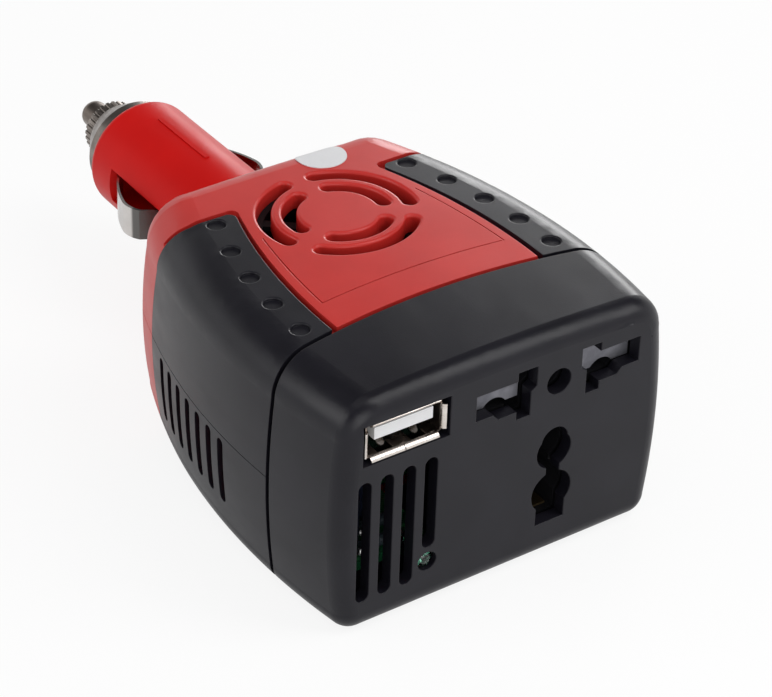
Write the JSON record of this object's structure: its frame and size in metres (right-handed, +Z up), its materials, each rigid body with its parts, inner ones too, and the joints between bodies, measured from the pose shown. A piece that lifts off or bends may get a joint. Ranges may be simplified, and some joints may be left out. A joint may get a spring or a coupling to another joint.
{
  "type": "plug-in power inverter",
  "caption": "Small vehicle-socket power inverter with a round fan grille, universal outlet, USB port, side vents and a fused plug on its rear.",
  "frame": {"origin": "centre of the footprint, on the surface the flat underside rests on", "axes": "+Z up, +Y from the socket face back along the plug, +X to the right of someone facing the sockets"},
  "size_m": [0.063, 0.1228, 0.0409],
  "materials": {
    "red_shell": "smooth semi-gloss moulded ABS",
    "black_shell": "fine-textured moulded ABS",
    "nickel": "bright nickel plate with light wear",
    "spring_steel": "plated spring strip, bright",
    "grey_contact": "dull tinned strip",
    "brass_contact": "bare brass",
    "white_plastic": "white insulating moulding",
    "dark_moulding": "plain black moulding",
    "board_green": "solder-masked glass-epoxy board",
    "ferrite": "sintered ferrite",
    "copper_wire": "enamelled copper wire",
    "can_sleeve": "heat-shrunk sleeve",
    "film_box": "epoxy-filled box",
    "aluminium": "mill-finish extrusion",
    "steel_zinc": "zinc-plated screw steel",
    "resistor_body": "lacquered resistor body",
    "magnet": "bonded magnet",
    "label_white": "bare adhesive label",
    "lens_green": "tinted diffused lens",
    "fuse_tube": "clear glass tube",
    "lead_red": "red lead insulation",
    "lead_black": "black lead insulation"
  },
  "bodies": {
    "housing": {"front_cap": "black_shell", "upper_housing": "red_shell", "lower_housing": "red_shell", "upper_grip_left": "black_shell", "upper_grip_right": "black_shell", "lower_grip_left": "black_shell", "lower_grip_right": "black_shell", "round_label": "label_white", "housing_screws": "steel_zinc", "socket_carrier": "dark_moulding", "live_contact": "grey_contact", "neutral_contact": "grey_contact", "earth_contact": "brass_contact", "carrier_screws": "steel_zinc", "usb_shell": "nickel", "usb_tongue": "white_plastic", "usb_contacts": "brass_contact", "usb_board": "board_green", "lamp_lens": "lens_green", "lamp_leads": "steel_zinc", "main_board": "board_green", "transformer_core": "ferrite", "transformer_bobbin": "dark_moulding", "transformer_windings": "copper_wire", "input_capacitor": "can_sleeve", "small_capacitors": "can_sleeve", "film_capacitor": "film_box", "choke_core": "ferrite", "choke_winding": "copper_wire", "heat_sink": "aluminium", "power_transistors": "dark_moulding", "controller_chip": "dark_moulding", "board_resistors": "resistor_body", "fan_frame": "dark_moulding", "fan_coils": "copper_wire", "fan_label": "label_white", "fan_screws": "steel_zinc", "plug_barrel": "red_shell", "rear_contact": "brass_contact", "plug_spring": "spring_steel", "positive_lead": "lead_red", "ground_leads": "lead_black", "fan_leads": "lead_red", "socket_leads": "lead_black", "usb_leads": "lead_red"},
    "fan": {"fan_rotor": "dark_moulding", "fan_shaft": "steel_zinc", "rotor_magnet": "magnet"},
    "nose": {"nose_cap": "nickel"},
    "tip": {"tip_contact": "nickel", "fuse_glass": "fuse_tube", "fuse_caps": "nickel", "fuse_wire": "copper_wire"},
    "ground_left": {"ground_spring_left": "spring_steel"},
    "ground_right": {"ground_spring_right": "spring_steel"}
  },
  "joints": [
    {"name": "fan_spin", "type": "hinge", "parent": "housing", "child": "fan", "pos_m": [0, -0.0165, 0.033], "axis": [0, 0, 1], "continuous": true},
    {"name": "nose_unscrew", "type": "hinge", "parent": "housing", "child": "nose", "pos_m": [0, 0.0486, 0.0205], "axis": [0, 1, 0], "continuous": true},
    {"name": "tip_press", "type": "slide", "parent": "housing", "child": "tip", "axis": [0, -1, 0], "range_m": [0, 0.005], "stiffness_N_per_m": 2000, "springref_m": -0.002, "deforming": ["plug_spring"]},
    {"name": "ground_left_press", "type": "slide", "parent": "housing", "child": "ground_left", "axis": [1, 0, 0], "range_m": [0, 0.0021], "stiffness_N_per_m": 3000, "springref_m": -0.0004},
    {"name": "ground_right_press", "type": "slide", "parent": "housing", "child": "ground_right", "axis": [-1, 0, 0], "range_m": [0, 0.0021], "stiffness_N_per_m": 3000, "springref_m": -0.0004}
  ]
}
